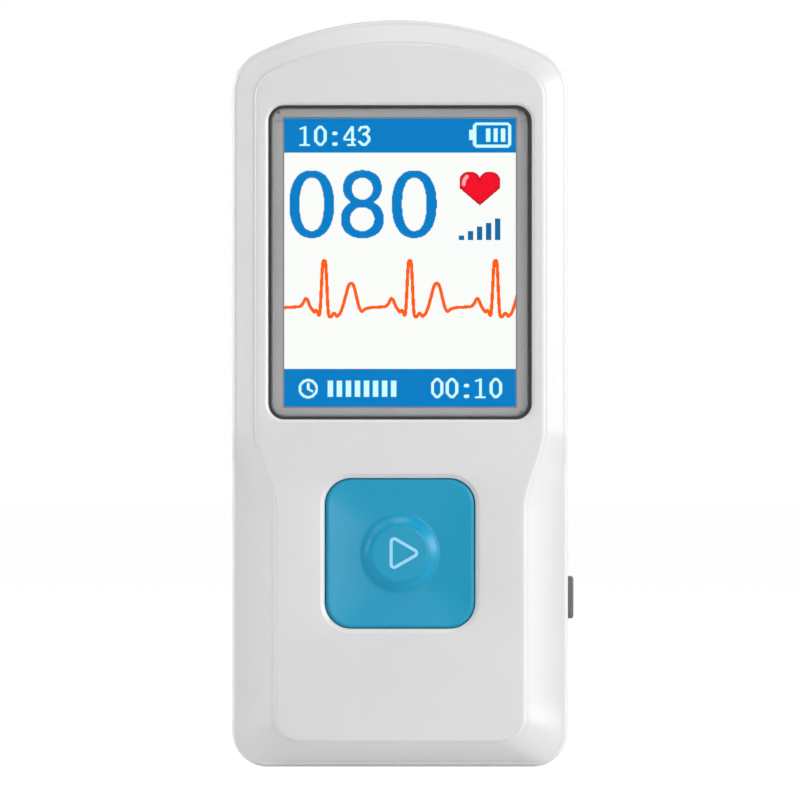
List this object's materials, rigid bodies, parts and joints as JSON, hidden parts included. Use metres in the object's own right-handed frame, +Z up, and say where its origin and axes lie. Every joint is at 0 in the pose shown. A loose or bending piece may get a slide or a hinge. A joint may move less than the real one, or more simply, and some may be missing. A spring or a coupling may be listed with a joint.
{
  "type": "pocket heart-rhythm monitor",
  "caption": "Hand-held heart-rhythm recorder: moulded housing with a waisted front panel, colour display, large start key with a round boss, small side key and steel electrodes on the back.",
  "frame": {"origin": "middle of the flat end the monitor stands on, midway between front panel and back face", "axes": "+Z up from the flat end to the arched head, +Y from the front panel to the back, +X to the right seen from the front"},
  "size_m": [0.0458, 0.0157, 0.1],
  "materials": {
    "housing_plastic": "moulded, fine satin grain",
    "clear_lens": "clear, polished",
    "border_print": "grey print behind the lens",
    "dark_rubber": "matt",
    "display_glass": "lit display panel",
    "chip_black": "moulded, matt",
    "chip_ceramic": "matt",
    "milky_plastic": "satin",
    "amber_film": "film, slightly glossy",
    "board_green": "solder mask",
    "key_blue": "satin",
    "symbol_blue": "satin print",
    "key_grey": "satin",
    "cell_foil": "pouch foil",
    "lead_sleeve": "smooth sleeve",
    "spring_bronze": "plated sheet",
    "steel": "fine brushed"
  },
  "bodies": {
    "housing": {"front_cover": "housing_plastic", "rear_cover": "housing_plastic", "display_lens": "clear_lens", "lens_border": "border_print", "lens_gasket": "dark_rubber", "lens_adhesive": "dark_rubber", "display_foam": "dark_rubber", "display_glass": "display_glass", "display_driver": "chip_black", "light_guide": "milky_plastic", "backlight_tray": "milky_plastic", "display_ribbon": "amber_film", "main_board": "board_green", "processor": "chip_black", "ecg_amplifier": "chip_black", "memory_chip": "chip_black", "charger_chip": "chip_black", "clock_crystal": "steel", "chip_passives": "chip_ceramic", "start_switch": "chip_black", "side_switch": "chip_black", "usb_shell": "steel", "usb_tongue": "chip_black", "battery_cell": "cell_foil", "battery_circuit": "amber_film", "battery_pad": "dark_rubber", "battery_leads": "lead_sleeve", "battery_plug": "milky_plastic", "battery_header": "milky_plastic", "electrode_upper": "steel", "electrode_left": "steel", "electrode_right": "steel", "spring_upper": "spring_bronze", "spring_left": "spring_bronze", "spring_right": "spring_bronze", "cover_screws": "steel", "board_screws": "steel"},
    "start_button": {"start_key": "key_blue", "start_symbol": "symbol_blue"},
    "start_switch_plunger": {"start_plunger": "milky_plastic"},
    "side_button": {"side_key": "key_grey"},
    "side_switch_plunger": {"side_plunger": "milky_plastic"}
  },
  "joints": [
    {"name": "start_key_press", "type": "slide", "parent": "housing", "child": "start_button", "axis": [0, 1, 0], "range_m": [0, 0.00025], "stiffness_N_per_m": 1500, "springref_m": -0.0004},
    {"name": "start_plunger_press", "type": "slide", "parent": "housing", "child": "start_switch_plunger", "axis": [0, 1, 0], "range_m": [0, 0.00025]},
    {"name": "side_key_press", "type": "slide", "parent": "housing", "child": "side_button", "axis": [-1, 0, 0], "range_m": [0, 0.00025], "stiffness_N_per_m": 1000, "springref_m": -0.0004},
    {"name": "side_plunger_press", "type": "slide", "parent": "housing", "child": "side_switch_plunger", "axis": [-1, 0, 0], "range_m": [0, 0.00025]}
  ],
  "couplings": [
    {"joint": "start_plunger_press", "follows": "start_key_press", "ratio": 1},
    {"joint": "side_plunger_press", "follows": "side_key_press", "ratio": 1}
  ]
}
